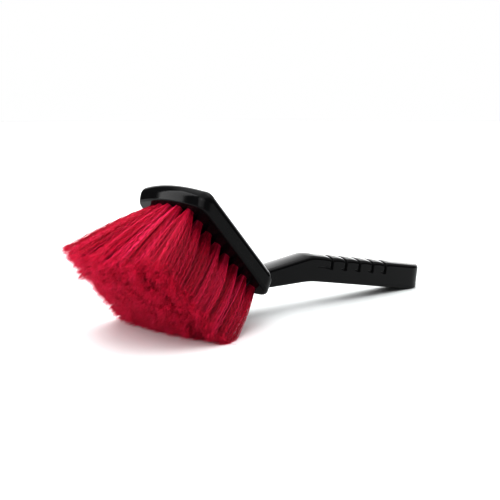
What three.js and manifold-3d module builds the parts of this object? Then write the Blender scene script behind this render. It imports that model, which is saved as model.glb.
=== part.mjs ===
// Wheel brush: a moulded block (head, neck and grip in one) filled with 40 filament tufts.
// Millimetres, +Z up. The origin is on the floor, below the middle of the brush's own box.
// The brush lies as it is put down: on the tips of its last row of tufts and on the end of
// its grip. +X runs from the nose of the head to the end of the grip.
import * as THREE from 'three';
import { ConvexGeometry } from 'three/addons/geometries/ConvexGeometry.js';
import { mergeVertices } from 'three/addons/utils/BufferGeometryUtils.js';
import Module from 'manifold-3d';

const wasm = await Module();
wasm.setup();

// Head, in its own frame: x runs from the nose to the neck, z up from the underside. The wall
// at the nose leans out towards the top, and the wall at the neck leans in.
const HEAD_TILT = THREE.MathUtils.degToRad(47.4);
const HEAD_EDGE_HEIGHT = 22;
const HEAD_LENGTH = 95;
const HEAD_WIDTH = 77.8;
const HEAD_THICKNESS = 15.3;
const NOSE_ARC = 4.6;
const NOSE_LEAN = THREE.MathUtils.degToRad(35.4);
const NOSE_CORNER = 7;
const NOSE_STEPS = 6;
const NECK_END = 2.65;
const NECK_END_LEAN = THREE.MathUtils.degToRad(20);
const NECK_CORNER = 11;
const CORNER_STEPS = 2;
const TOP_ROUND = 7;
const BOTTOM_ROUND = 2;
const BALL_SIDES = 12;
const BALL_RINGS = 6;
const BEVEL_STEPS = 2;
const CURVE_STEPS = 5;

// Handle, in side view: a level neck, a bend, and a grip that falls to the floor.
const NECK_FALL = THREE.MathUtils.degToRad(0.1);
const NECK_LENGTH = 73.4;
const NECK_ROOT_INSET = 5.8;
const NECK_ROOT_RISE = 1.5;
const NECK_TOP_SETBACK = 2.8;
const GRIP_FALL = THREE.MathUtils.degToRad(9.6);
const GRIP_LENGTH = 147.5;
const GRIP_HEIGHT = 21.6;
const BUTT_HEIGHT = 22.6;
const GRIP_WIDTH = 25;
const NECK_WIDTH = 24.6;
const NECK_ROOT_WIDTH = 31;
const BUTT_ROUND = 19;
const BUTT_EASE_ALONG = 6.3;
const BUTT_EASE_ACROSS = 7.4;
const HANDLE_ROUND = 2.6;
const GRIP_SWELL = 30;
const FLARE_END = 28;

// Grip grooves: five cuts across the top, running part way down both sides.
const GROOVES = 5;
const GROOVE_START = 22.3;
const GROOVE_PITCH = 17.5;
const GROOVE_WIDTH = 2.8;
const GROOVE_DEPTH = 1.5;
const GROOVE_DROP = 9.5;
const RIB_CROWN = 0.7;

// Tufts: rows run across the head, the first at the nose and the last at the neck.
const ROWS = 8;
const COLUMNS = 5;
const ROW_PITCH = 11.7;
const MARGIN_AT_NOSE = 18.5;
const MARGIN_AT_NECK = 14;
const LAST_ROW_INSET = 8.2;
const NOSE_ROW_BOW = 3.5;
const TUFT_LENGTH = 68;
const ROOT_RADIUS = 3.2;
const HOLE_CLEARANCE = 0.4;
const HOLE_DEPTH = 8;
const LEAN_AT_NOSE = 11.6;
const LEAN_AT_NECK = 17.1;
const SPREAD_AT_NOSE = 28;
const SPREAD_AT_NECK = 23.7;
const TIP_HALF_LENGTH = 5.1;
const TIP_HALF_WIDTH = 11;
const FLARE_POWER = 1.5;
const FLARE_RING = 0.4;
const TUFT_SIDES = 10;

// A block of floor, used to flatten what touches it.
const FLOOR_SIZE = [600, 300, 100];

const blackPlastic = () => new THREE.MeshStandardMaterial({ color: 0x141415, roughness: 0.34, metalness: 0 });
const redFilament = () => new THREE.MeshStandardMaterial({ color: 0xb40a2a, roughness: 0.5, metalness: 0 });

// ---- solids ----------------------------------------------------------------------------

function toSolid(geometry) {
  const bare = geometry.clone();
  bare.deleteAttribute('normal');
  bare.deleteAttribute('uv');
  const merged = mergeVertices(bare, 1e-4);
  return new wasm.Manifold(new wasm.Mesh({
    numProp: 3,
    vertProperties: new Float32Array(merged.attributes.position.array),
    triVerts: new Uint32Array(merged.index.array),
  }));
}

function toGeometry(solid) {
  const mesh = solid.getMesh();
  const geometry = new THREE.BufferGeometry();
  geometry.setAttribute('position', new THREE.BufferAttribute(new Float32Array(mesh.vertProperties), 3));
  geometry.setIndex(new THREE.BufferAttribute(new Uint32Array(mesh.triVerts), 1));
  geometry.computeVertexNormals();
  return geometry;
}

// An outline extruded with rounded edges, kept inside the outline and inside its depth.
function roundedExtrude(shape, depth, round) {
  const geometry = new THREE.ExtrudeGeometry(shape, {
    depth: depth - 2 * round,
    bevelEnabled: true,
    bevelThickness: round,
    bevelSize: round,
    bevelOffset: -round,
    bevelSegments: BEVEL_STEPS,
    curveSegments: CURVE_STEPS,
  });
  return geometry.translate(0, 0, round);
}

// ---- frames ----------------------------------------------------------------------------

// The head's frame sits on the middle of the underside's neck-side edge.
const headFrame = new THREE.Matrix4()
  .makeRotationY(HEAD_TILT)
  .setPosition(0, 0, HEAD_EDGE_HEIGHT);

// The neck's underside starts at that edge and runs to the bend.
const neckStart = new THREE.Vector3().applyMatrix4(headFrame);
const bend = new THREE.Vector3(
  neckStart.x + NECK_LENGTH * Math.cos(NECK_FALL),
  0,
  neckStart.z - NECK_LENGTH * Math.sin(NECK_FALL),
);

// The grip's frame sits on its underside at the bend, with x running to the end.
const gripFrame = new THREE.Matrix4()
  .makeRotationY(GRIP_FALL)
  .setPosition(bend);

// ---- block -----------------------------------------------------------------------------

// Centres of the balls of one radius, at one height, that touch the head's walls from inside.
function ballCentres(height, round) {
  const halfWidth = HEAD_WIDTH / 2;
  const nose = -HEAD_LENGTH + (round - height * Math.sin(NOSE_LEAN)) / Math.cos(NOSE_LEAN);
  const neck = NECK_END - (round + height * Math.sin(NECK_END_LEAN)) / Math.cos(NECK_END_LEAN);
  const noseTurn = NOSE_CORNER - round;
  const neckTurn = NECK_CORNER - round;
  const centres = [];
  for (let step = 0; step <= NOSE_STEPS; step += 1) {
    const y = THREE.MathUtils.lerp(NOSE_CORNER - halfWidth, halfWidth - NOSE_CORNER, step / NOSE_STEPS);
    const bow = (NOSE_ARC * (1 - (y / halfWidth) ** 2)) / Math.cos(NOSE_LEAN);
    centres.push(new THREE.Vector3(nose - bow, y, height));
  }
  for (let step = 0; step <= CORNER_STEPS; step += 1) {
    const turn = (Math.PI / 2) * (step / CORNER_STEPS);
    [-1, 1].forEach((side) => {
      centres.push(new THREE.Vector3(
        nose + noseTurn * (1 - Math.cos(turn)),
        side * (halfWidth - NOSE_CORNER + noseTurn * Math.sin(turn)),
        height,
      ));
      centres.push(new THREE.Vector3(
        neck - neckTurn * (1 - Math.cos(turn)),
        side * (halfWidth - NECK_CORNER + neckTurn * Math.sin(turn)),
        height,
      ));
    });
  }
  return centres;
}

// The head is the tightest skin around balls: large ones along its top edge and small ones
// along its bottom edge.
function headPlate() {
  const points = [];
  [[HEAD_THICKNESS - TOP_ROUND, TOP_ROUND], [BOTTOM_ROUND, BOTTOM_ROUND]].forEach(([height, round]) => {
    const ball = new THREE.SphereGeometry(round, BALL_SIDES, BALL_RINGS).rotateX(Math.PI / 2);
    const place = ball.attributes.position;
    ballCentres(height, round).forEach((centre) => {
      for (let index = 0; index < place.count; index += 1) {
        points.push(new THREE.Vector3().fromBufferAttribute(place, index).add(centre));
      }
    });
  });
  return toSolid(new ConvexGeometry(points).applyMatrix4(headFrame));
}

// The grip deepens a little towards its end.
function gripHeight(along) {
  return THREE.MathUtils.lerp(GRIP_HEIGHT, BUTT_HEIGHT, along / GRIP_LENGTH);
}

// The grip's top line, in the grip's frame: each rib between two grooves is slightly crowned.
function ribTop() {
  const steps = 4;
  const points = [];
  for (let rib = 0; rib < GROOVES - 1; rib += 1) {
    for (let step = 0; step < steps; step += 1) {
      const part = step / steps;
      const along = GROOVE_START + (rib + part) * GROOVE_PITCH;
      points.push([along, gripHeight(along) - RIB_CROWN * (1 - Math.sin(Math.PI * part))]);
    }
  }
  const last = GROOVE_START + (GROOVES - 1) * GROOVE_PITCH;
  points.push([last, gripHeight(last) - RIB_CROWN]);
  return points;
}

function sideOutline() {
  const onGrip = (along, up) => new THREE.Vector3(along, 0, up).applyMatrix4(gripFrame);
  const onHead = (along, up) => new THREE.Vector3(along, 0, up).applyMatrix4(headFrame);
  const start = onHead(-NECK_ROOT_INSET, NECK_ROOT_RISE);
  const rootTop = onHead(-NECK_ROOT_INSET, HEAD_THICKNESS - NECK_TOP_SETBACK);
  const bendTop = onGrip(GRIP_HEIGHT * Math.tan((NECK_FALL - GRIP_FALL) / 2), GRIP_HEIGHT);
  const outline = [
    start,
    neckStart,
    bend,
    onGrip(GRIP_LENGTH, 0),
    onGrip(GRIP_LENGTH, BUTT_HEIGHT),
    ...ribTop().reverse().map(([along, up]) => onGrip(along, up)),
    bendTop,
    rootTop,
  ];
  return new THREE.Shape(outline.map((point) => new THREE.Vector2(point.x, point.z)));
}

// Square to the grip, in the grip's frame: the neck is a little slimmer than the grip, whose
// end is rounded.
function planOutline() {
  const gripHalf = GRIP_WIDTH / 2;
  const neckHalf = NECK_WIDTH / 2;
  const start = -NECK_LENGTH - HEAD_THICKNESS;
  const end = GRIP_LENGTH;
  const roundStart = end - BUTT_ROUND;
  const easeEnd = end - BUTT_EASE_ALONG;
  const shape = new THREE.Shape();
  shape.moveTo(start, -neckHalf);
  shape.lineTo(0, -neckHalf);
  shape.lineTo(GRIP_SWELL, -gripHalf);
  shape.lineTo(roundStart, -gripHalf);
  shape.bezierCurveTo(easeEnd, -gripHalf, end, -BUTT_EASE_ACROSS, end, 0);
  shape.bezierCurveTo(end, BUTT_EASE_ACROSS, easeEnd, gripHalf, roundStart, gripHalf);
  shape.lineTo(GRIP_SWELL, gripHalf);
  shape.lineTo(0, neckHalf);
  shape.lineTo(start, neckHalf);
  shape.closePath();
  return shape;
}

// The neck's root widens smoothly into the head.
function flareOutline() {
  const rootHalf = NECK_ROOT_WIDTH / 2;
  const neckHalf = NECK_WIDTH / 2 - HANDLE_ROUND;
  const shape = new THREE.Shape();
  shape.moveTo(-HEAD_THICKNESS, -rootHalf);
  shape.lineTo(HEAD_THICKNESS / 2, -rootHalf);
  shape.quadraticCurveTo(HEAD_THICKNESS, -neckHalf, FLARE_END, -neckHalf);
  shape.lineTo(FLARE_END, neckHalf);
  shape.quadraticCurveTo(HEAD_THICKNESS, neckHalf, HEAD_THICKNESS / 2, rootHalf);
  shape.lineTo(-HEAD_THICKNESS, rootHalf);
  shape.closePath();
  return shape;
}

// The side outline at a given width, trimmed to an outline seen along the z of its frame.
function trimmedSide(width, plan, planFrame) {
  const side = roundedExtrude(sideOutline(), width, HANDLE_ROUND)
    .rotateX(Math.PI / 2)
    .translate(0, width / 2, 0);
  const column = new THREE.ExtrudeGeometry(plan, {
    depth: 2 * HEAD_LENGTH,
    bevelEnabled: false,
    curveSegments: CURVE_STEPS,
  });
  column.translate(0, 0, -HEAD_LENGTH).applyMatrix4(planFrame);
  return toSolid(side).intersect(toSolid(column));
}

// A box across the grip, in the grip's frame, from one height up to another.
function gripBox(along, length, width, bottom, top) {
  const box = new THREE.BoxGeometry(length, width, top - bottom);
  return toSolid(box.translate(along, 0, (bottom + top) / 2).applyMatrix4(gripFrame));
}

// Each groove is a slab across the top and the upper sides, less the core that is its bottom.
function cutGrooves(body) {
  const coreWidth = GRIP_WIDTH - 2 * GROOVE_DEPTH;
  let cut = body;
  for (let groove = 0; groove < GROOVES; groove += 1) {
    const along = GROOVE_START + groove * GROOVE_PITCH;
    const top = gripHeight(along);
    const slab = gripBox(along, GROOVE_WIDTH, 2 * GRIP_WIDTH, top - GROOVE_DROP, 2 * top);
    const core = gripBox(along, 2 * GROOVE_WIDTH, coreWidth, 0, top - RIB_CROWN - GROOVE_DEPTH);
    cut = cut.subtract(slab.subtract(core));
  }
  return cut;
}

// ---- tufts -----------------------------------------------------------------------------

// Where a tuft is rooted and where its tip ends, in the head's frame.
function tuftPlace(row, column) {
  const toNeck = row / (ROWS - 1);
  const across = (2 * column) / (COLUMNS - 1) - 1;
  const halfWidth = HEAD_WIDTH / 2 - THREE.MathUtils.lerp(MARGIN_AT_NOSE, MARGIN_AT_NECK, toNeck);
  const bow = NOSE_ROW_BOW * (1 - toNeck) * (1 - across * across);
  const root = new THREE.Vector3(
    -(LAST_ROW_INSET + (ROWS - 1 - row) * ROW_PITCH + bow),
    across * halfWidth,
    0,
  );
  const lean = THREE.MathUtils.lerp(LEAN_AT_NOSE, LEAN_AT_NECK, toNeck);
  const spread = across * THREE.MathUtils.lerp(SPREAD_AT_NOSE, SPREAD_AT_NECK, toNeck);
  const drop = Math.sqrt(TUFT_LENGTH ** 2 - lean ** 2 - spread ** 2);
  return { root, tip: new THREE.Vector3(-lean, spread, -drop) };
}

// A round root in the hole that opens out to a wide oval tip. In the lathe profile, height -1
// is the tip, 0 the mouth of the hole and 1 the end of the root.
function tuftGeometry(tip) {
  const profile = [[0, -1], [1, -1], [1, -FLARE_RING], [1, 0], [1, 1], [0, 1]];
  const points = profile.map(([radius, height]) => new THREE.Vector2(radius, height));
  const geometry = new THREE.LatheGeometry(points, TUFT_SIDES).rotateX(Math.PI / 2);
  const position = geometry.attributes.position;
  for (let index = 0; index < position.count; index += 1) {
    const height = position.getZ(index);
    const along = Math.max(-height, 0);
    const flare = 1 - (1 - along) ** FLARE_POWER;
    const halfLength = THREE.MathUtils.lerp(ROOT_RADIUS, TIP_HALF_LENGTH, flare);
    const halfWidth = THREE.MathUtils.lerp(ROOT_RADIUS, TIP_HALF_WIDTH, flare);
    const inHole = Math.max(height, 0) * (HOLE_DEPTH - HOLE_CLEARANCE);
    position.setXYZ(
      index,
      position.getX(index) * halfLength + along * tip.x,
      position.getY(index) * halfWidth + along * tip.y,
      inHole + along * tip.z,
    );
  }
  return geometry;
}

function tuftHole(root) {
  const radius = ROOT_RADIUS + HOLE_CLEARANCE;
  const hole = new THREE.CylinderGeometry(radius, radius, 2 * HOLE_DEPTH, TUFT_SIDES);
  return hole.rotateX(Math.PI / 2).translate(root.x, root.y, 0);
}

// ---- assembly --------------------------------------------------------------------------

const floor = new THREE.BoxGeometry(...FLOOR_SIZE).translate(0, 0, -FLOOR_SIZE[2] / 2);

function brushBlock(places) {
  const handle = trimmedSide(GRIP_WIDTH, planOutline(), gripFrame);
  const flare = trimmedSide(NECK_ROOT_WIDTH, flareOutline(), new THREE.Matrix4());
  const plain = handle.add(flare);
  let block = cutGrooves(plain).add(headPlate());
  places.forEach(({ root }) => {
    block = block.subtract(toSolid(tuftHole(root).applyMatrix4(headFrame)));
  });
  const mesh = new THREE.Mesh(toGeometry(block.subtract(toSolid(floor))), blackPlastic());
  mesh.name = 'brush_block';
  return mesh;
}

// A tuft sits in the head's frame, and what would reach below the floor is flattened on it.
function tuftMesh({ row, column, root, tip }, headFloor) {
  const solid = toSolid(tuftGeometry(tip).translate(root.x, root.y, 0)).subtract(headFloor);
  const mesh = new THREE.Mesh(toGeometry(solid), redFilament());
  mesh.name = `tuft_row${row + 1}_col${column + 1}`;
  return mesh;
}

const places = [];
for (let row = 0; row < ROWS; row += 1) {
  for (let column = 0; column < COLUMNS; column += 1) {
    places.push({ row, column, ...tuftPlace(row, column) });
  }
}

const tufts = new THREE.Group();
tufts.rotation.y = HEAD_TILT;
tufts.position.z = HEAD_EDGE_HEIGHT;
const headFloor = toSolid(floor.clone().applyMatrix4(headFrame.clone().invert()));
places.forEach((place) => tufts.add(tuftMesh(place, headFloor)));

const brush = new THREE.Group();
brush.add(brushBlock(places), tufts);

// The origin is moved to the middle of the brush's own box.
const box = new THREE.Box3().setFromObject(brush, true);
brush.position.x = -(box.min.x + box.max.x) / 2;

const wheelBrush = new THREE.Group();
wheelBrush.add(brush);

export default wheelBrush;
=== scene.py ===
import math

import bpy
import numpy as np
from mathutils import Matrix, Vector


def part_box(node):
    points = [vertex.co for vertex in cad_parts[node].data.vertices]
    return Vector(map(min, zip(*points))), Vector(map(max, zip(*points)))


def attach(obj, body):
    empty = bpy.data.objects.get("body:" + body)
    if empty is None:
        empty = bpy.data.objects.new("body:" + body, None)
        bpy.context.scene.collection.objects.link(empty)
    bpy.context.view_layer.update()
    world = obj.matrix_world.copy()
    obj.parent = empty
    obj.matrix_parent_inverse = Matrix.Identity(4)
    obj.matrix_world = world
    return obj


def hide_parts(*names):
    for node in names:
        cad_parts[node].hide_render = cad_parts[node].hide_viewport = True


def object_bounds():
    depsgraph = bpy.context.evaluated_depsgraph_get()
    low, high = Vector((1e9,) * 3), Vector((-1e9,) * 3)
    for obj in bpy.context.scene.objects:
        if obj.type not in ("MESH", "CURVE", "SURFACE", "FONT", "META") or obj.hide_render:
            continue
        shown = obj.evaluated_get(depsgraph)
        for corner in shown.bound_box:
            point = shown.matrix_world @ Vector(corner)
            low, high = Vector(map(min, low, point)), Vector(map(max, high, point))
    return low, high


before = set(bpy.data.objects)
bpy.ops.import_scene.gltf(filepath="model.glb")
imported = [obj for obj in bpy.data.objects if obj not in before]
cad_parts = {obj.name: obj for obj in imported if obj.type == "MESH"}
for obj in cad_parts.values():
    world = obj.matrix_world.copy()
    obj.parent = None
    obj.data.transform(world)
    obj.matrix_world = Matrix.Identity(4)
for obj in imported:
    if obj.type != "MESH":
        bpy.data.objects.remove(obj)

# A wheel brush: one moulded black block, 40 tufts of crimped red filaments, and the wire anchor
# that holds each tuft in its hole. The frame is in metres and the sizes below are millimetres.
MM = 0.001
SEED = 11

# Head, in its own frame: x from the nose to the neck, z up from the underside. The wall at
# the nose leans out towards the top, and the wall at the neck leans in.
HEAD_TILT = math.radians(47.4)
HEAD_EDGE_HEIGHT = 22.0
HEAD_LENGTH = 94.3
HEAD_WIDTH = 77.8
HEAD_THICKNESS = 15.3
NOSE_ARC = 4.6
NOSE_LEAN = math.radians(35.4)
NECK_END = 2.65
NECK_END_LEAN = math.radians(20.0)
NECK_CORNER = 11.0
TOP_ROUND = 7.0
BOTTOM_ROUND = 2.8

# Handle, in side view: a level neck, a bend, and a grip that falls to the floor.
NECK_FALL = math.radians(0.1)
NECK_LENGTH = 73.4
NECK_ROOT_INSET = 5.8
NECK_TOP_SETBACK = 2.8
GRIP_FALL = math.radians(9.6)
GRIP_LENGTH = 147.5
GRIP_HEIGHT = 22.8
BUTT_HEIGHT = 23.8
GRIP_WIDTH = 25.0
NECK_WIDTH = 24.6
NECK_ROOT_WIDTH = 31.0
NECK_CROWN = 1.0
GRIP_CROWN = 2.8
GRIP_SWELL = 30.0
FLARE_END = 28.0
BUTT_ROUND = 19.0
BUTT_POWER = 2.33
HANDLE_ROUND = 2.4
BEND_ROUND = 1.6
NECK_FILLET = 2.4
FLOOR_EDGE_ROUND = 0.3

# From the head's edge to the far end of the grip, along the floor.
HANDLE_REACH = 222.6

# Grip grooves: five cuts across the top and part way down both sides. From the foot of each
# a crease runs toward the neck and fades out.
GROOVES = 5
GROOVE_START = 22.3
GROOVE_PITCH = 17.5
GROOVE_WIDTH = 2.8
GROOVE_DEPTH = 1.5
GROOVE_DROP = 9.0
GROOVE_EDGE_ROUND = 0.45
RIB_CROWN = 0.7
CREASE_HALF_WIDTH = 0.7
FIRST_CREASE_REACH = 17.0
CREASE_REACH = 6.0
CREASE_FADE = 1.6

# Tufts: rows run across the head, the first at the nose and the last at the neck.
ROWS = 8
COLUMNS = 5
ROW_PITCH = 11.7
MARGIN_AT_NOSE = 18.5
MARGIN_AT_NECK = 14.0
LAST_ROW_INSET = 8.2
NOSE_ROW_BOW = 3.5
TUFT_LENGTH = 68.0
ROOT_RADIUS = 3.2
HOLE_CLEARANCE = 0.4
HOLE_DEPTH = 8.0
LEAN_AT_NOSE = 11.6
LEAN_AT_NECK = 17.1
SPREAD_AT_NOSE = 28.0
SPREAD_AT_NECK = 23.7
TIP_HALF_LENGTH = 6.8
TIP_HALF_WIDTH = 13.2
FLARE_POWER = 1.9
TIP_SQUARENESS = 0.5

# Filaments: each is a crimped tube that narrows near its end.
FILAMENTS = 290
FILAMENT_RADIUS = 0.19
FILAMENT_STEPS = 24
FILAMENT_SIDES = 3
FILAMENT_BOW = 0.8
TAPER_START = 0.85
TAPER_TO = 0.45
CRIMP_SIZE = 0.32
CRIMP_LENGTH = 8.5
CRIMP_BUILD_UP = 0.25
ROOT_GAP = 1.5

# How loosely the tips stand: every filament, the odd stray one, and how evenly they are cut.
TIP_SCATTER = 0.9
STRAY_SHARE = 0.07
STRAY_SCATTER = 3.2
TRIM_SCATTER = 0.9

# Within a tuft the filaments draw together into bunches.
BUNCHES = 26
BUNCH_PULL = 0.32
BUNCH_DRIFT = 0.8
BUNCH_TRIM = 1.4

# How much of a filament's shade it shares with the rest of its bunch.
SHADE_BY_BUNCH = 0.5

# The split ends of each filament.
FLAGS = 3
FLAG_LENGTH = 7.0
FLAG_LENGTH_RANGE = (0.6, 1.1)
FLAG_OVERLAP = 0.75
FLAG_SPREAD = 1.7
FLAG_RADIUS = 0.1
FLAG_TAPER_TO = 0.4
FLAG_STEPS = 4
# The "along" attribute runs from 0 in the hole to 1 at the tip, and on the split ends from here.
FLAGS_START_ALONG = 0.9

# How high above the floor the middle of a strand stays.
FLOOR_CLEARANCE = 0.25

# Wire anchors: a staple across the bottom of each hole with both legs driven into the block.
ANCHOR_WIRE_RADIUS = 0.35
ANCHOR_HALF_SPAN = 2.2
ANCHOR_LEG = 2.6
ANCHOR_SAG = 0.8
ANCHOR_INSET = 1.0
ANCHOR_STEPS = 12
ANCHOR_SIDES = 8

# The grid that the block's surface is drawn from: its step, how far it reaches past the CAD
# box, and the share of its faces that is kept. A slope is measured over SLOPE_REACH each way.
BLOCK_STEP = 0.6
BLOCK_MARGIN = 4.0
BLOCK_KEPT = 0.42
SLOPE_REACH = 0.05

# The floor, in metres: it lies just under the brush, so that the two don't share a plane.
FLOOR_HALF_SIDE = 14.0
FLOOR_DROP = 0.0002

# Where the camera stands, in metres from what it looks at, and its lens and sensor width.
CAMERA_AZIMUTH = math.radians(-43.0)
CAMERA_ELEVATION = math.radians(7.84)
CAMERA_DISTANCE = 0.7603
CAMERA_LENS = 71.23
CAMERA_SENSOR = 36.0
# What it looks at: millimetres past the head's edge, toward +Y, and above the floor.
CAMERA_AIM = (8.66, -8.1, 53.3)

# The room's light: azimuth, elevation, reach, softness (degrees) and strength of each patch.
# Azimuth 0 is the side that faces -Y, and 90 the side that faces +X.
ROOM_DIM = 0.10
ROOM_LIGHTS = [
    (0, 90, 42, 12, 2.5),
    (130, 2, 38, 12, 3.3),
    (-78, 28, 18, 8, 3.9),
    (-50, 27, 17, 8, 3.2),
    (75, 45, 22, 12, 1.3),
]
# The softbox past the nose, on the +Y side: azimuth, elevation, distance and size in metres,
# and watts.
SIDE_SOFTBOX = (-133.5, 24, 1.1, (0.38, 0.95), 5.4)
VIEW_GAMMA = 1 / 1.5

cad_low, cad_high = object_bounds()
cad_middle = (cad_low + cad_high) / 2


# ---- frames --------------------------------------------------------------------------------


def turned(along, up, start, angle):
    """Coordinates along and above a line that starts at a point and falls by that angle."""
    a, u = along - start[0], up - start[1]
    cosine, sine = math.cos(angle), math.sin(angle)
    return a * cosine - u * sine, a * sine + u * cosine


def to_row(along, up, start, angle):
    """The inverse of turned, for one point."""
    cosine, sine = math.cos(angle), math.sin(angle)
    return start[0] + along * cosine + up * sine, start[1] - along * sine + up * cosine


def handle_chain(edge_x):
    """Points down the handle in side view: neck start, bend, end of the grip's underside."""
    edge = (edge_x, HEAD_EDGE_HEIGHT)
    bend = to_row(NECK_LENGTH, 0, edge, NECK_FALL)
    end = to_row(GRIP_LENGTH, 0, bend, GRIP_FALL)
    return edge, bend, end


block_low, block_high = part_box("brush_block")
HEAD_EDGE_X = block_high[0] / MM - HANDLE_REACH
HEAD_EDGE, BEND, GRIP_END = handle_chain(HEAD_EDGE_X)


# ---- camera, floor and light ---------------------------------------------------------------


def make_camera():
    data = bpy.data.cameras.new("camera")
    data.lens = CAMERA_LENS
    data.sensor_width = CAMERA_SENSOR
    camera = bpy.data.objects.new("camera", data)
    back = Vector((
        math.sin(CAMERA_AZIMUTH) * math.cos(CAMERA_ELEVATION),
        -math.cos(CAMERA_AZIMUTH) * math.cos(CAMERA_ELEVATION),
        math.sin(CAMERA_ELEVATION),
    ))
    aim = Vector((HEAD_EDGE_X + CAMERA_AIM[0], CAMERA_AIM[1], CAMERA_AIM[2])) * MM
    camera.location = aim + back * CAMERA_DISTANCE
    camera.rotation_euler = (-back).to_track_quat("-Z", "Y").to_euler()
    bpy.context.scene.collection.objects.link(camera)
    bpy.context.scene.camera = camera


def softbox(name, azimuth, elevation, distance, size, watts):
    """A rectangular light aimed at the middle of the brush from that direction."""
    data = bpy.data.lights.new(name, "AREA")
    data.shape = "RECTANGLE"
    data.size, data.size_y = size
    data.energy = watts
    light = bpy.data.objects.new(name, data)
    a, e = math.radians(azimuth), math.radians(elevation)
    back = Vector((math.sin(a) * math.cos(e), -math.cos(a) * math.cos(e), math.sin(e)))
    light.location = cad_middle + back * distance
    light.rotation_euler = (-back).to_track_quat("-Z", "Y").to_euler()
    bpy.context.scene.collection.objects.link(light)


def add_lobe(tree, azimuth, elevation, reach, softness, strength):
    """Light from a round patch of the room; reach and softness are angles from its middle."""
    a, e = math.radians(azimuth), math.radians(elevation)
    way = (math.sin(a) * math.cos(e), -math.cos(a) * math.cos(e), math.sin(e))
    place = tree.nodes.new("ShaderNodeTexCoord")
    dot = tree.nodes.new("ShaderNodeVectorMath")
    dot.operation = "DOT_PRODUCT"
    dot.inputs[1].default_value = way
    tree.links.new(place.outputs["Generated"], dot.inputs[0])
    edge = tree.nodes.new("ShaderNodeMapRange")
    edge.interpolation_type = "SMOOTHSTEP"
    edge.inputs["From Min"].default_value = math.cos(math.radians(reach + softness))
    edge.inputs["From Max"].default_value = math.cos(math.radians(reach - softness))
    edge.inputs["To Min"].default_value = 0.0
    edge.inputs["To Max"].default_value = strength
    tree.links.new(dot.outputs["Value"], edge.inputs["Value"])
    return edge.outputs["Result"]


def make_world():
    """White to look at; to the brush, a dim room lit by the patches in ROOM_LIGHTS."""
    world = bpy.data.worlds.new("studio")
    bpy.context.scene.world = world
    world.use_nodes = True
    tree = world.node_tree
    tree.nodes.clear()
    output = tree.nodes.new("ShaderNodeOutputWorld")
    mix = tree.nodes.new("ShaderNodeMixShader")
    path = tree.nodes.new("ShaderNodeLightPath")
    seen = tree.nodes.new("ShaderNodeBackground")
    seen.inputs["Color"].default_value = (1, 1, 1, 1)
    room = tree.nodes.new("ShaderNodeBackground")
    total = None
    for lobe in ROOM_LIGHTS:
        light = add_lobe(tree, *lobe)
        add = tree.nodes.new("ShaderNodeMath")
        add.operation = "ADD"
        add.inputs[1].default_value = ROOM_DIM
        if total is not None:
            tree.links.new(total, add.inputs[1])
        tree.links.new(light, add.inputs[0])
        total = add.outputs[0]
    tree.links.new(total, room.inputs["Strength"])
    tree.links.new(path.outputs["Is Camera Ray"], mix.inputs["Fac"])
    tree.links.new(room.outputs[0], mix.inputs[1])
    tree.links.new(seen.outputs[0], mix.inputs[2])
    tree.links.new(mix.outputs[0], output.inputs["Surface"])


def make_floor():
    mesh = bpy.data.meshes.new("floor")
    half, z = FLOOR_HALF_SIDE, -FLOOR_DROP
    corners = [(-half, -half, z), (half, -half, z), (half, half, z), (-half, half, z)]
    mesh.from_pydata(corners, [], [(0, 1, 2, 3)])
    floor = bpy.data.objects.new("floor", mesh)
    material, tree, shader = new_material("floor_white")
    shader.inputs["Base Color"].default_value = (0.84, 0.86, 0.86, 1)
    shader.inputs["Roughness"].default_value = 0.6
    mesh.materials.append(material)
    bpy.context.scene.collection.objects.link(floor)


# ---- materials -----------------------------------------------------------------------------


def new_material(name):
    material = bpy.data.materials.new(name)
    material.use_nodes = True
    tree = material.node_tree
    return material, tree, tree.nodes["Principled BSDF"]


def add_noise(tree, scale, detail, stretch=(1, 1, 1)):
    """Noise in the object's own coordinates; scale is in waves per metre."""
    place = tree.nodes.new("ShaderNodeTexCoord")
    mapping = tree.nodes.new("ShaderNodeMapping")
    mapping.inputs["Scale"].default_value = stretch
    noise = tree.nodes.new("ShaderNodeTexNoise")
    noise.inputs["Scale"].default_value = scale
    noise.inputs["Detail"].default_value = detail
    tree.links.new(place.outputs["Object"], mapping.inputs["Vector"])
    tree.links.new(mapping.outputs["Vector"], noise.inputs["Vector"])
    return noise.outputs["Fac"]


def add_range(tree, value, low, high, start=0.3, end=0.7):
    """The value mapped from start...end to low...high."""
    node = tree.nodes.new("ShaderNodeMapRange")
    node.inputs["From Min"].default_value = start
    node.inputs["From Max"].default_value = end
    node.inputs["To Min"].default_value = low
    node.inputs["To Max"].default_value = high
    tree.links.new(value, node.inputs["Value"])
    return node.outputs["Result"]


def add_ramp(tree, value, stops):
    node = tree.nodes.new("ShaderNodeValToRGB")
    ramp = node.color_ramp
    while len(ramp.elements) < len(stops):
        ramp.elements.new(0.5)
    for element, (position, colour) in zip(ramp.elements, stops, strict=True):
        element.position = position
        element.color = (*colour, 1)
    tree.links.new(value, node.inputs["Fac"])
    return node.outputs["Color"]


def add_bump(tree, shader, height, distance):
    bump = tree.nodes.new("ShaderNodeBump")
    bump.inputs["Distance"].default_value = distance
    bump.inputs["Strength"].default_value = 1.0
    tree.links.new(height, bump.inputs["Height"])
    tree.links.new(bump.outputs["Normal"], shader.inputs["Normal"])


def attribute(tree, name):
    node = tree.nodes.new("ShaderNodeAttribute")
    node.attribute_name = name
    return node.outputs["Fac"]


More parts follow.
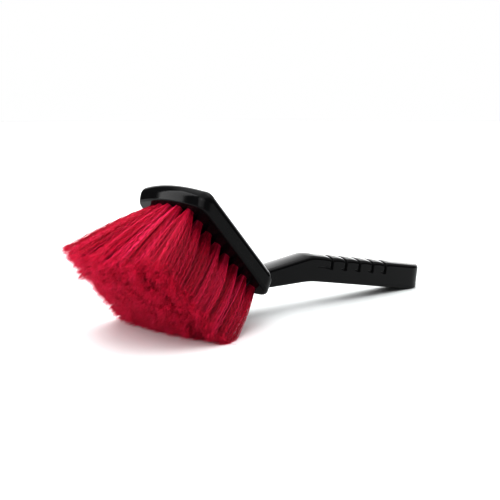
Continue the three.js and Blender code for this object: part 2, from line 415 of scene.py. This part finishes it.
def block_plastic():
    """Black moulded plastic: a soft gloss with faint flow marks and a very fine skin."""
    material, tree, shader = new_material("black_moulded_plastic")
    cloud = add_noise(tree, 45, 4)
    skin = add_noise(tree, 1800, 2)
    colour = add_ramp(tree, cloud, [(0.3, (0.007, 0.007, 0.0075)), (0.7, (0.010, 0.010, 0.011))])
    tree.links.new(colour, shader.inputs["Base Color"])
    tree.links.new(add_range(tree, cloud, 0.09, 0.14), shader.inputs["Roughness"])
    shader.inputs["IOR"].default_value = 1.46
    shader.inputs["Specular IOR Level"].default_value = 0.26
    add_bump(tree, shader, skin, 0.006 * MM)
    return material


def red_filament():
    """Crimson filament: shade differs from strand to strand, and the split ends are paler."""
    material, tree, shader = new_material("crimson_filament")
    strand = attribute(tree, "strand")
    along = attribute(tree, "along")
    shades = [(0.1, (0.40, 0.002, 0.035)), (0.5, (0.76, 0.007, 0.085)), (0.9, (0.98, 0.06, 0.24))]
    shade = add_ramp(tree, strand, shades)
    ends = tree.nodes.new("ShaderNodeMix")
    ends.data_type = "RGBA"
    ends.inputs["B"].default_value = (0.84, 0.02, 0.13, 1)
    tree.links.new(add_range(tree, along, 0.0, 0.35, 0.86, 1.0), ends.inputs["Factor"])
    tree.links.new(shade, ends.inputs["A"])
    tree.links.new(ends.outputs["Result"], shader.inputs["Base Color"])
    tree.links.new(add_range(tree, strand, 0.3, 0.48, 0.0, 1.0), shader.inputs["Roughness"])
    add_bump(tree, shader, add_noise(tree, 900, 2), 0.01 * MM)
    return material


def anchor_steel():
    """Drawn steel wire with fine marks along it."""
    material, tree, shader = new_material("anchor_wire_steel")
    marks = add_noise(tree, 900, 3, (0.2, 1, 1))
    colour = add_ramp(tree, marks, [(0.3, (0.45, 0.44, 0.43)), (0.7, (0.66, 0.65, 0.63))])
    tree.links.new(colour, shader.inputs["Base Color"])
    shader.inputs["Metallic"].default_value = 1.0
    tree.links.new(add_range(tree, marks, 0.28, 0.45), shader.inputs["Roughness"])
    add_bump(tree, shader, marks, 0.01 * MM)
    return material


# ---- fields: negative inside, positive outside, in millimetres -------------------------------


def round_max(a, b, radius):
    """What is inside both, with the edge between them rounded."""
    outer = np.hypot(np.maximum(a + radius, 0), np.maximum(b + radius, 0)) - radius
    return np.where((a > -radius) | (b > -radius), outer, np.maximum(a, b))


def round_min(a, b, radius):
    """What is inside either, with the corner between them filled."""
    return -round_max(-a, -b, radius)


def soft_max(a, b, width):
    """What is inside both, for faces that meet at a shallow angle."""
    return np.maximum(a, b) + np.maximum(width - np.abs(a - b), 0) ** 2 / (4 * width)


def round_meet(a, b, cosine, radius):
    """Like round_max, for faces whose outward directions have that cosine between them."""
    a_in, b_in = a + radius, b + radius
    sine_square = 1 - cosine**2
    near_a = a_in - cosine * b_in > 0
    near_b = b_in - cosine * a_in > 0
    square = (a_in**2 + b_in**2 - 2 * cosine * a_in * b_in) / sine_square
    arc = np.sqrt(np.maximum(square, 0)) - radius
    return np.where(near_a & near_b, arc, np.maximum(a, b))


def rise_of(field, x, y, z):
    """How fast a field grows with height."""
    above, below = field(x, y, z + SLOPE_REACH), field(x, y, z - SLOPE_REACH)
    return (above - below) / (2 * SLOPE_REACH)


def head_walls(x, y, z):
    """The head's sides and its wall at the neck, in the head's frame."""
    out = (x - NECK_END) * math.cos(NECK_END_LEAN) + z * math.sin(NECK_END_LEAN)
    return round_max(np.abs(y) - HEAD_WIDTH / 2, out, NECK_CORNER)


def head_upper(x, y, z):
    """The head without its underside."""
    half = HEAD_WIDTH / 2
    arc = (half**2 + NOSE_ARC**2) / (2 * NOSE_ARC)
    out = -(x + HEAD_LENGTH) * math.cos(NOSE_LEAN) - z * math.sin(NOSE_LEAN)
    nose = np.hypot(out + arc - NOSE_ARC, y) - arc
    nose_and_top = round_meet(nose, z - HEAD_THICKNESS, -math.sin(NOSE_LEAN), TOP_ROUND)
    rise = rise_of(head_walls, x, y, z)
    return round_meet(nose_and_top, head_walls(x, y, z), rise, TOP_ROUND)


def head_field(x, y, z):
    """The whole head, with the edge round its underside rounded."""
    cosine = np.clip(-rise_of(head_upper, x, y, z), -0.8, 0.8)
    return round_meet(head_upper(x, y, z), -z, cosine, BOTTOM_ROUND)


def grip_top(along):
    """Height of the grip's top: each rib is crowned between its grooves."""
    height = GRIP_HEIGHT + (BUTT_HEIGHT - GRIP_HEIGHT) * along / GRIP_LENGTH
    groove = np.clip(np.round((along - GROOVE_START) / GROOVE_PITCH), 0, GROOVES - 1)
    away = np.abs(along - GROOVE_START - groove * GROOVE_PITCH) / GROOVE_PITCH
    return height - RIB_CROWN * (1 - np.sin(math.pi * np.minimum(away, 0.5)))


def plan_field(x, y, grip_x):
    """The handle seen from above: flared root, slim neck, fuller grip and a rounded end."""
    half = NECK_WIDTH / 2
    half = half + (GRIP_WIDTH - NECK_WIDTH) / 2 * np.clip((x - BEND[0]) / GRIP_SWELL, 0, 1)
    past = np.clip((x - HEAD_EDGE_X) / FLARE_END, 0, 1)
    half = half + (NECK_ROOT_WIDTH - NECK_WIDTH) / 2 * (1 - past) ** 2
    sides = np.abs(y) - half
    u = np.maximum((grip_x - GRIP_LENGTH) / BUTT_ROUND + 1, 0)
    v = np.abs(y) / (GRIP_WIDTH / 2)
    reach = (u**BUTT_POWER + v**BUTT_POWER) ** (1 / BUTT_POWER)
    slope = np.hypot(u / BUTT_ROUND, v / (GRIP_WIDTH / 2)) / np.maximum(reach, 0.2)
    butt = (reach - 1) / np.maximum(slope, 0.5 / BUTT_ROUND)
    return np.where(u > 0, butt, sides)


def handle_field(x, y, z):
    neck_x, neck_z = turned(x, z, HEAD_EDGE, NECK_FALL)
    grip_x, grip_z = turned(x, z, BEND, GRIP_FALL)
    lean = (NECK_FALL - GRIP_FALL) / 2
    root_top = to_row(-NECK_ROOT_INSET, HEAD_THICKNESS - NECK_TOP_SETBACK, HEAD_EDGE, HEAD_TILT)
    bend_top = to_row(GRIP_HEIGHT * math.tan(lean), GRIP_HEIGHT, BEND, GRIP_FALL)
    climb = math.atan2(bend_top[1] - root_top[1], bend_top[0] - root_top[0])
    over_neck = turned(x, z, root_top, -climb)[1]
    across = np.minimum((2 * y / GRIP_WIDTH) ** 2, 1.2)
    toward_bend = np.clip((x - HEAD_EDGE_X) / NECK_LENGTH, 0, 1)
    neck_top = over_neck + across * (NECK_CROWN + (GRIP_CROWN - NECK_CROWN) * toward_bend)
    top = soft_max(neck_top, grip_z - grip_top(grip_x) + across * GRIP_CROWN, BEND_ROUND)
    below = -soft_max(neck_z, grip_z, BEND_ROUND)
    body = round_max(np.maximum(top, below), plan_field(x, y, grip_x), HANDLE_ROUND)
    return np.maximum(body, HEAD_EDGE_X - NECK_ROOT_INSET - x)


def groove_field(x, y, z, body):
    """The grooves and the creases at their feet, cut to a depth below the body's skin."""
    along, up = turned(x, z, BEND, GRIP_FALL)
    number = np.clip(np.round((along - GROOVE_START) / GROOVE_PITCH), 0, GROOVES - 1)
    centre = GROOVE_START + number * GROOVE_PITCH
    foot = grip_top(centre) + RIB_CROWN - GRIP_CROWN - GROOVE_DROP
    slot = np.maximum(np.abs(along - centre) - GROOVE_WIDTH / 2, foot - up)
    groove = np.maximum(slot, -(body + GROOVE_DEPTH))
    ahead = np.clip(np.ceil((along - GROOVE_START) / GROOVE_PITCH), 0, GROOVES - 1)
    before = GROOVE_START + ahead * GROOVE_PITCH - along
    reach = np.where(ahead == 0, FIRST_CREASE_REACH, CREASE_REACH)
    fade = np.clip(CREASE_FADE * (1 - before / reach), 0, 1) * (before > -GROOVE_WIDTH / 2)
    line = grip_top(along) + RIB_CROWN - GRIP_CROWN - GROOVE_DROP + CREASE_HALF_WIDTH
    crease = np.hypot(up - line, np.minimum(body, 0)) - CREASE_HALF_WIDTH * fade
    return np.minimum(groove, np.where(fade > 0, crease, 1.0))


def tuft_roots():
    """The middle of each tuft's hole on the head's underside, with its row and column."""
    for row in range(ROWS):
        for column in range(COLUMNS):
            toward_neck = row / (ROWS - 1)
            across = 2 * column / (COLUMNS - 1) - 1
            bow = NOSE_ROW_BOW * (1 - toward_neck) * (1 - across**2)
            x = -(LAST_ROW_INSET + (ROWS - 1 - row) * ROW_PITCH + bow)
            margin = MARGIN_AT_NOSE + (MARGIN_AT_NECK - MARGIN_AT_NOSE) * toward_neck
            yield row, column, x, across * (HEAD_WIDTH / 2 - margin)


def block_field(x, y, z):
    head_x, head_z = turned(x, z, HEAD_EDGE, HEAD_TILT)
    handle = handle_field(x, y, z)
    handle = round_max(handle, -groove_field(x, y, z, handle), GROOVE_EDGE_ROUND)
    body = round_min(head_field(head_x, y, head_z), handle, NECK_FILLET)
    if np.min(head_x) < 0:
        away = np.full(np.broadcast(x, y, z).shape, np.inf, np.float32)
        for _, _, root_x, root_y in tuft_roots():
            away = np.minimum(away, np.hypot(head_x - root_x, y - root_y))
        hole = np.maximum(away - ROOT_RADIUS - HOLE_CLEARANCE, head_z - HOLE_DEPTH)
        body = round_max(body, -hole, HOLE_CLEARANCE)
    return round_max(body, -z, FLOOR_EDGE_ROUND)


# ---- a mesh from a field -------------------------------------------------------------------

CELL_CORNERS = [(i, j, k) for i in (0, 1) for j in (0, 1) for k in (0, 1)]
UNITS = np.eye(3, dtype=int)


def slope_of(field, points):
    """The field's gradient at each point."""
    slope = np.empty_like(points)
    for axis in range(3):
        ahead, behind = points.copy(), points.copy()
        ahead[:, axis] += SLOPE_REACH
        behind[:, axis] -= SLOPE_REACH
        slope[:, axis] = (field(*ahead.T) - field(*behind.T)) / (2 * SLOPE_REACH)
    return slope


def crossed_cells(inside):
    """Which cells of the grid the surface passes through."""
    cells = np.array(inside.shape) - 1
    count = sum(
        inside[i : i + cells[0], j : j + cells[1], k : k + cells[2]].astype(np.int8)
        for i, j, k in CELL_CORNERS
    )
    return (count > 0) & (count < len(CELL_CORNERS))


def crossing_middles(value, cell):
    """For each cell, the mean of the places where its edges cross the surface."""
    total, hits = np.zeros((len(cell), 3)), np.zeros((len(cell), 1))
    for corner in CELL_CORNERS:
        for axis in range(3):
            if corner[axis]:
                continue
            a = value[tuple((cell + corner).T)]
            b = value[tuple((cell + corner + UNITS[axis]).T)]
            hit = ((a < 0) != (b < 0)).astype(float)
            share = a / np.where(a == b, 1, a - b)
            total += hit[:, None] * (corner + share[:, None] * UNITS[axis])
            hits += hit[:, None]
    return total / hits


def net_faces(inside, number):
    """Quads that join the points of the cells round each grid edge the surface crosses."""
    faces = []
    for axis in range(3):
        u, v = UNITS[(axis + 1) % 3], UNITS[(axis + 2) % 3]
        length = number.shape[axis]
        near, far = inside.take(range(length), axis), inside.take(range(1, length + 1), axis)
        edge = np.argwhere(near != far)
        quad = np.stack([number[tuple((edge - back).T)] for back in (0 * u, u, u + v, v)], 1)
        leaving = inside[tuple(edge.T)]
        faces.append(np.where(leaving[:, None], quad, quad[:, ::-1]))
    return np.concatenate(faces)


def surface_net(field, low, high, step):
    """Points and faces of the surface where the field is 0, one point in each cell it crosses."""
    axes = [np.arange(a, b + step, step) for a, b in zip(low, high, strict=True)]
    rows = [field(x, axes[1][:, None], axes[2][None, :]) for x in axes[0]]
    value = np.stack(rows).astype(np.float32)
    inside = value < 0
    crossed = crossed_cells(inside)
    number = np.full(crossed.shape, -1, np.int32)
    number[crossed] = np.arange(np.count_nonzero(crossed))
    cell = np.argwhere(crossed)
    first = np.array([axis[0] for axis in axes])
    points = first + step * (cell + crossing_middles(value, cell))
    return points, net_faces(inside, number)


def settle(field, points, step, rounds=3):
    """Moves points onto the surface, each by at most part of a grid step."""
    for _ in range(rounds):
        slope = slope_of(field, points)
        square = np.maximum((slope**2).sum(1), 0.25)
        move = (field(*points.T) / square)[:, None] * slope
        size = np.linalg.norm(move, axis=1, keepdims=True)
        points = points - move * np.minimum(1, step / 2 / np.maximum(size, 1e-9))
    return points


# ---- block ---------------------------------------------------------------------------------


def add_object(name, points, faces, material):
    """A smooth-shaded object from points in millimetres and an array of faces."""
    mesh = bpy.data.meshes.new(name)
    mesh.vertices.add(len(points))
    mesh.vertices.foreach_set("co", (points * MM).astype(np.float32).ravel())
    count, sides = faces.shape
    mesh.loops.add(count * sides)
    mesh.loops.foreach_set("vertex_index", faces.astype(np.int32).ravel())
    mesh.polygons.add(count)
    mesh.polygons.foreach_set("loop_start", np.arange(0, count * sides, sides, dtype=np.int32))
    mesh.update(calc_edges=True)
    mesh.shade_smooth()
    mesh.materials.append(material)
    item = bpy.data.objects.new(name, mesh)
    bpy.context.scene.collection.objects.link(item)
    return item


def make_block(material):
    """The whole moulding, with its mesh thinned and its normals taken from the field."""
    low = np.array(block_low) / MM - BLOCK_MARGIN
    high = np.array(block_high) / MM + BLOCK_MARGIN
    points, faces = surface_net(block_field, low, high, BLOCK_STEP)
    points = settle(block_field, points, BLOCK_STEP)
    block = add_object("block", points, faces, material)
    thin = block.modifiers.new("thin", "DECIMATE")
    thin.ratio = BLOCK_KEPT
    bpy.context.view_layer.update()
    graph = bpy.context.evaluated_depsgraph_get()
    mesh = bpy.data.meshes.new_from_object(block.evaluated_get(graph), depsgraph=graph)
    block.modifiers.clear()
    block.data = mesh
    corners = np.empty(len(mesh.vertices) * 3, np.float32)
    mesh.vertices.foreach_get("co", corners)
    slope = slope_of(block_field, corners.reshape(-1, 3).astype(float) / MM)
    normals = slope / np.linalg.norm(slope, axis=1, keepdims=True)
    mesh.normals_split_custom_set_from_vertices(normals.tolist())
    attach(block, "root")
    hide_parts("brush_block")


# ---- tufts ---------------------------------------------------------------------------------


def head_to_row(points):
    """Points in the head's frame, as an array of any shape, put into the row frame."""
    x, y, z = points[..., 0], points[..., 1], points[..., 2]
    cosine, sine = math.cos(HEAD_TILT), math.sin(HEAD_TILT)
    return np.stack([
        HEAD_EDGE_X + x * cosine + z * sine,
        y,
        HEAD_EDGE_HEIGHT - x * sine + z * cosine,
    ], -1)


def tube_faces(steps, sides):
    """Faces of one closed tube, as triangles, whose points are its rings in order."""
    faces = []
    for ring in range(steps - 1):
        for side in range(sides):
            a = ring * sides + side
            b = ring * sides + (side + 1) % sides
            faces += [(a, b, b + sides), (a, b + sides, a + sides)]
    last = (steps - 1) * sides
    faces += [(0, side + 1, side) for side in range(1, sides - 1)]
    faces += [(last, last + side, last + side + 1) for side in range(1, sides - 1)]
    return np.array(faces)


def tubes(paths, radii, sides):
    """Points and faces of closed tubes along paths (tube, step, 3) with radii (tube, step)."""
    tangent = np.gradient(paths, axis=1)
    tangent /= np.linalg.norm(tangent, axis=2, keepdims=True)
    across = np.cross(tangent, (0.0, 1.0, 0.13))
    across /= np.linalg.norm(across, axis=2, keepdims=True)
    other = np.cross(tangent, across)
    turn = 2 * math.pi * np.arange(sides) / sides
    ring = (
        across[:, :, None] * np.cos(turn)[:, None] + other[:, :, None] * np.sin(turn)[:, None]
    )
    points = paths[:, :, None] + ring * radii[:, :, None, None]
    count, steps = paths.shape[:2]
    faces = tube_faces(steps, sides)[None] + (np.arange(count) * steps * sides)[:, None, None]
    return points.reshape(-1, 3), faces.reshape(-1, 3)


def lay_on_floor(paths):
    """Bends each path where it would pass through the floor, and keeps its length."""
    laid = paths.copy()
    for step in range(1, paths.shape[1]):
        move = paths[:, step] - paths[:, step - 1]
        length = np.linalg.norm(move, axis=1)
        low = np.maximum(laid[:, step - 1, 2] + move[:, 2], FLOOR_CLEARANCE)
        fall = np.clip(low - laid[:, step - 1, 2], -length, length)
        flat = np.hypot(move[:, 0], move[:, 1])
        run = np.sqrt(np.maximum(length**2 - fall**2, 0)) / np.maximum(flat, 1e-6)
        laid[:, step, :2] = laid[:, step - 1, :2] + move[:, :2] * run[:, None]
        laid[:, step, 2] = laid[:, step - 1, 2] + fall
    return laid


def disc_points(count):
    """Points spread evenly over a unit disc."""
    turn = np.arange(count) * math.pi * (3 - math.sqrt(5))
    radius = np.sqrt((np.arange(count) + 0.5) / count)
    return np.stack([radius * np.cos(turn), radius * np.sin(turn)], 1)


def nearest_bunch(disc):
    """Which of the tuft's bunches each filament leans to."""
    away = np.linalg.norm(disc[:, None] - disc_points(BUNCHES)[None], axis=2)
    return away.argmin(axis=1)


def tip_places(disc, random):
    """Where each filament's end stands about the middle of its tuft's tip."""
    reach = np.linalg.norm(disc, axis=1, keepdims=True)
    square = disc * reach / np.abs(disc).max(axis=1, keepdims=True)
    tip = np.zeros((FILAMENTS, 3))
    tip[:, :2] = disc + (square - disc) * TIP_SQUARENESS
    tip[:, :2] *= (TIP_HALF_LENGTH, TIP_HALF_WIDTH)
    bunch = nearest_bunch(disc)
    middle = np.stack([tip[bunch == number].mean(axis=0) for number in range(BUNCHES)])
    tip += (middle[bunch] - tip) * BUNCH_PULL
    tip[:, :2] += random.normal(0, BUNCH_DRIFT, (BUNCHES, 2))[bunch]
    tip[:, 2] += random.normal(0, BUNCH_TRIM, BUNCHES)[bunch]
    return tip


def loose_ends(random):
    """How far each filament strays from its own place by the time it ends."""
    stray = random.random(FILAMENTS) < STRAY_SHARE
    scatter = np.where(stray, STRAY_SCATTER, TIP_SCATTER)[:, None]
    loose = random.normal(0, 1, (FILAMENTS, 3)) * scatter
    loose[:, 2] = random.normal(0, TRIM_SCATTER, FILAMENTS)
    return loose


def crimp(paths, share, random):
    """Adds the filaments' waves to their paths, in the two directions across the tuft."""
    phase = random.uniform(0, 2 * math.pi, (FILAMENTS, 2))
    wave = 2 * math.pi * TUFT_LENGTH / CRIMP_LENGTH * share
    size = CRIMP_SIZE * np.minimum(1, share / CRIMP_BUILD_UP)
    paths[..., 0] += size * np.sin(wave + phase[:, :1])
    paths[..., 1] += size * np.sin(wave + phase[:, 1:])


def filament_paths(row, column, root_x, root_y, random):
    """The filaments of one tuft in the row frame, from the bottom of its hole to their tips."""
    toward_neck = row / (ROWS - 1)
    across = 2 * column / (COLUMNS - 1) - 1
    lean = LEAN_AT_NOSE + (LEAN_AT_NECK - LEAN_AT_NOSE) * toward_neck
    spread = across * (SPREAD_AT_NOSE + (SPREAD_AT_NECK - SPREAD_AT_NOSE) * toward_neck)
    drop = math.sqrt(TUFT_LENGTH**2 - lean**2 - spread**2)
    disc = disc_points(FILAMENTS)
    root = np.zeros((FILAMENTS, 3))
    root[:, :2] = disc * (ROOT_RADIUS - FILAMENT_RADIUS)
    tip = tip_places(disc, random)
    loose = loose_ends(random)
    share = np.linspace(0, 1, FILAMENT_STEPS)[None, :, None]
    flare = 1 - (1 - share) ** FLARE_POWER
    start = np.array([root_x, root_y, 0.0])
    paths = start + np.array([-lean, spread, -drop]) * share
    paths = paths + root[:, None] * (1 - flare) + tip[:, None] * flare + loose[:, None] * share
    bow = random.normal(0, FILAMENT_BOW, (FILAMENTS, 1, 3))
    paths = paths + bow * np.sin(math.pi * share)
    crimp(paths, share[..., 0], random)
    hidden = start + root + (0, 0, HOLE_DEPTH - ROOT_GAP)
    paths = np.concatenate([hidden[:, None], paths], 1)
    return lay_on_floor(head_to_row(paths))


def flag_paths(paths, random):
    """The split ends of each filament: a few finer strands that open out past its end."""
    end = paths[:, -1]
    way = end - paths[:, -3]
    way /= np.linalg.norm(way, axis=1, keepdims=True)
    share = np.linspace(0, 1, FLAG_STEPS)[None, :, None]
    flags = []
    for _ in range(FLAGS):
        side = random.normal(0, FLAG_SPREAD, (len(end), 1, 3))
        length = FLAG_LENGTH * random.uniform(*FLAG_LENGTH_RANGE, (len(end), 1, 1))
        begin = end[:, None] - way[:, None] * length * FLAG_OVERLAP
        flags.append(begin + way[:, None] * length * share + side * share**2)
    return lay_on_floor(np.concatenate(flags))


def strand_shades(random):
    """A shade from 0 to 1 for each filament."""
    bunch_shade = random.random(BUNCHES)[nearest_bunch(disc_points(FILAMENTS))]
    return SHADE_BY_BUNCH * bunch_shade + (1 - SHADE_BY_BUNCH) * random.random(FILAMENTS)


def make_tuft(row, column, root_x, root_y, material):
    """One tuft as a single mesh, with each point's strand shade and place along its strand."""
    random = np.random.default_rng([SEED, row, column])
    paths = filament_paths(row, column, root_x, root_y, random)
    flags = flag_paths(paths, random)
    along = np.linspace(0, 1, paths.shape[1])
    thick = FILAMENT_RADIUS * np.interp(along, [0, TAPER_START, 1], [1, 1, TAPER_TO])
    body, body_faces = tubes(paths, np.tile(thick, (len(paths), 1)), FILAMENT_SIDES)
    thin = np.linspace(FLAG_RADIUS, FLAG_RADIUS * FLAG_TAPER_TO, FLAG_STEPS)
    ends, end_faces = tubes(flags, np.tile(thin, (len(flags), 1)), FILAMENT_SIDES)
    name = f"tuft_row{row + 1}_col{column + 1}"
    points = np.concatenate([body, ends])
    faces = np.concatenate([body_faces, end_faces + len(body)])
    tuft = add_object(f"filaments_row{row + 1}_col{column + 1}", points, faces, material)
    shade = strand_shades(random)
    set_attribute(tuft, "strand", np.concatenate([
        np.repeat(shade, paths.shape[1] * FILAMENT_SIDES),
        np.repeat(np.tile(shade, FLAGS), FLAG_STEPS * FILAMENT_SIDES),
    ]))
    reach = np.linspace(FLAGS_START_ALONG, 1, FLAG_STEPS)
    set_attribute(tuft, "along", np.concatenate([
        np.tile(np.repeat(along, FILAMENT_SIDES), len(paths)),
        np.tile(np.repeat(reach, FILAMENT_SIDES), len(flags)),
    ]))
    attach(tuft, "root")
    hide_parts(name)


def set_attribute(item, name, values):
    layer = item.data.attributes.new(name, "FLOAT", "POINT")
    layer.data.foreach_set("value", values.astype(np.float32))


def make_anchor(row, column, root_x, root_y, material):
    """A wire staple over the fold of the tuft, its legs driven into the block."""
    turn = np.linspace(0, math.pi, ANCHOR_STEPS)
    crown_x = -np.cos(turn) * ANCHOR_HALF_SPAN
    crown_z = HOLE_DEPTH - ANCHOR_INSET - np.sin(turn) * ANCHOR_SAG
    legs = np.array([[-ANCHOR_HALF_SPAN, HOLE_DEPTH + ANCHOR_LEG]])
    profile = np.concatenate([legs, np.stack([crown_x, crown_z], 1), legs * (-1, 1)])
    path = np.stack([np.full(len(profile), root_x), root_y + profile[:, 0], profile[:, 1]], 1)
    paths = head_to_row(path)[None]
    radii = np.full(paths.shape[:2], ANCHOR_WIRE_RADIUS)
    points, faces = tubes(paths, radii, ANCHOR_SIDES)
    anchor = add_object(f"anchor_row{row + 1}_col{column + 1}", points, faces, material)
    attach(anchor, "root")


# ---- the scene -----------------------------------------------------------------------------


def main():
    make_camera()
    make_world()
    make_floor()
    softbox("side_softbox", *SIDE_SOFTBOX)
    make_block(block_plastic())
    filament = red_filament()
    steel = anchor_steel()
    for row, column, root_x, root_y in tuft_roots():
        make_tuft(row, column, root_x, root_y, filament)
        make_anchor(row, column, root_x, root_y, steel)
    view = bpy.context.scene.view_settings
    view.view_transform = "Standard"
    view.gamma = VIEW_GAMMA


main()
